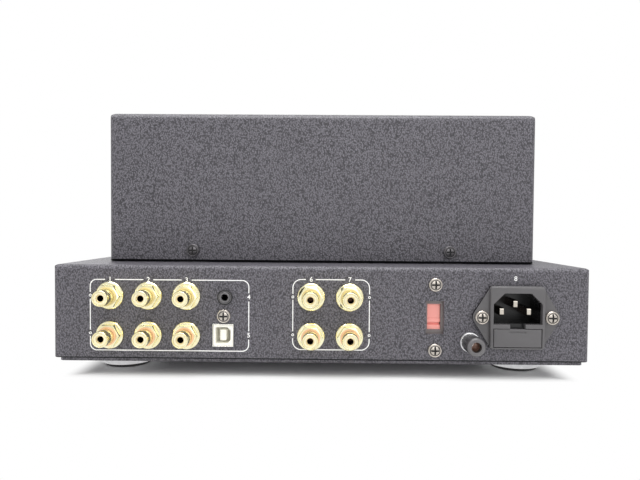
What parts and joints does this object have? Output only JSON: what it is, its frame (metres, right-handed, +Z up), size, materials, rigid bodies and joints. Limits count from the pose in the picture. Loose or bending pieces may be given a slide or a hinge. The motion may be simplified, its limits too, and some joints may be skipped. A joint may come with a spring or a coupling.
{
  "type": "tube preamplifier",
  "caption": "Tube preamplifier with a folded dark chassis, a tall transformer cover, rear phono jacks, a fused mains inlet, front knobs and small tubes on its deck.",
  "frame": {"origin": "on the standing surface, under the middle of the overall box", "axes": "+Z up, the front panel faces -Y, the rear connectors face +Y, +X to the right seen from the front"},
  "size_m": [0.28, 0.243, 0.1431],
  "materials": {
    "coat": "fine wrinkle powder coat",
    "alloy": "brushed and anodised",
    "steel": "nickel plated",
    "dark_steel": "dark plated",
    "chrome": "polished",
    "rubber": "matte",
    "laminations": "varnished",
    "winding_tape": "wound tape",
    "wire_jacket": "smooth",
    "board": "solder resist",
    "capacitor_sleeve": "shrink sleeve",
    "capacitor_film": "moulded",
    "glass": "clear",
    "electrodes": "grey carbonised",
    "ceramic": "unglazed",
    "gold": "gold plated",
    "ivory_plastic": "smooth",
    "red_plastic": "smooth",
    "black_plastic": "moulded",
    "white_plastic": "moulded",
    "bright_tin": "tin plated",
    "brown_laminate": "phenolic sheet",
    "lens": "clear tinted"
  },
  "bodies": {
    "chassis": {"chassis_shell": "coat", "bottom_plate": "coat", "front_panel": "alloy", "transformer_cover": "coat", "cover_brackets": "steel", "cover_screws": "dark_steel", "underside_screws": "steel", "panel_screws": "steel", "feet": "chrome", "foot_pads": "rubber", "transformer_core": "laminations", "transformer_coil": "winding_tape", "transformer_frame": "steel", "transformer_bolts": "steel", "lead_grommets": "rubber", "internal_wiring": "wire_jacket", "main_board": "board", "board_spacers": "steel", "board_screws": "steel", "filter_capacitors": "capacitor_sleeve", "coupling_capacitors": "capacitor_film", "tube_1": "glass", "tube_2": "glass", "tube_3": "glass", "tube_4": "glass", "tube_electrodes": "electrodes", "tube_sockets": "ceramic", "input_jacks_left": "gold", "input_jacks_right": "gold", "output_jacks_left": "gold", "output_jacks_right": "gold", "jack_insulators_left": "ivory_plastic", "jack_insulators_right": "red_plastic", "jack_contacts": "gold", "jack_nuts": "gold", "minijack": "black_plastic", "usb_shell": "bright_tin", "usb_insert": "white_plastic", "digital_board": "board", "rear_screws": "steel", "voltage_switch": "black_plastic", "mains_inlet": "black_plastic", "inlet_pins": "bright_tin", "ground_post": "chrome", "volume_control": "steel", "selector_switch": "brown_laminate", "bushing_nuts": "steel", "power_switch": "black_plastic", "pilot_light": "lens"},
    "volume": {"volume_knob": "alloy", "volume_shaft": "steel"},
    "selector": {"selector_knob": "alloy", "selector_shaft": "steel"},
    "power_button": {"power_button": "alloy"},
    "voltage_slider": {"voltage_slider": "red_plastic"},
    "fuse_drawer": {"fuse_drawer": "black_plastic", "fuses": "bright_tin"},
    "ground_insert": {"ground_insert": "gold"},
    "ground_cap": {"ground_cap": "black_plastic"}
  },
  "joints": [
    {"name": "volume_turn", "type": "hinge", "parent": "chassis", "child": "volume", "pos_m": [0.078, -0.1047, 0.03375], "axis": [0, 1, 0], "range_deg": [-150, 150]},
    {"name": "selector_turn", "type": "hinge", "parent": "chassis", "child": "selector", "pos_m": [-0.03, -0.1047, 0.03375], "axis": [0, 1, 0], "range_deg": [-60, 60]},
    {"name": "power_press", "type": "slide", "parent": "chassis", "child": "power_button", "axis": [0, 1, 0], "range_m": [0, 0.003], "stiffness_N_per_m": 600},
    {"name": "voltage_slide", "type": "slide", "parent": "chassis", "child": "voltage_slider", "axis": [0, 0, 1], "range_m": [0, 0.005]},
    {"name": "drawer_slide", "type": "slide", "parent": "chassis", "child": "fuse_drawer", "axis": [0, 1, 0], "range_m": [0, 0.018]},
    {"name": "ground_travel", "type": "slide", "parent": "chassis", "child": "ground_insert", "axis": [0, 1, 0], "range_m": [0, 0.0035]},
    {"name": "ground_turn", "type": "hinge", "parent": "ground_insert", "child": "ground_cap", "pos_m": [-0.0778, 0.1143, 0.01975], "axis": [0, 1, 0], "range_deg": [0, 1800]}
  ],
  "couplings": [
    {"joint": "ground_turn", "follows": "ground_travel", "rad_per_m": 8976}
  ]
}
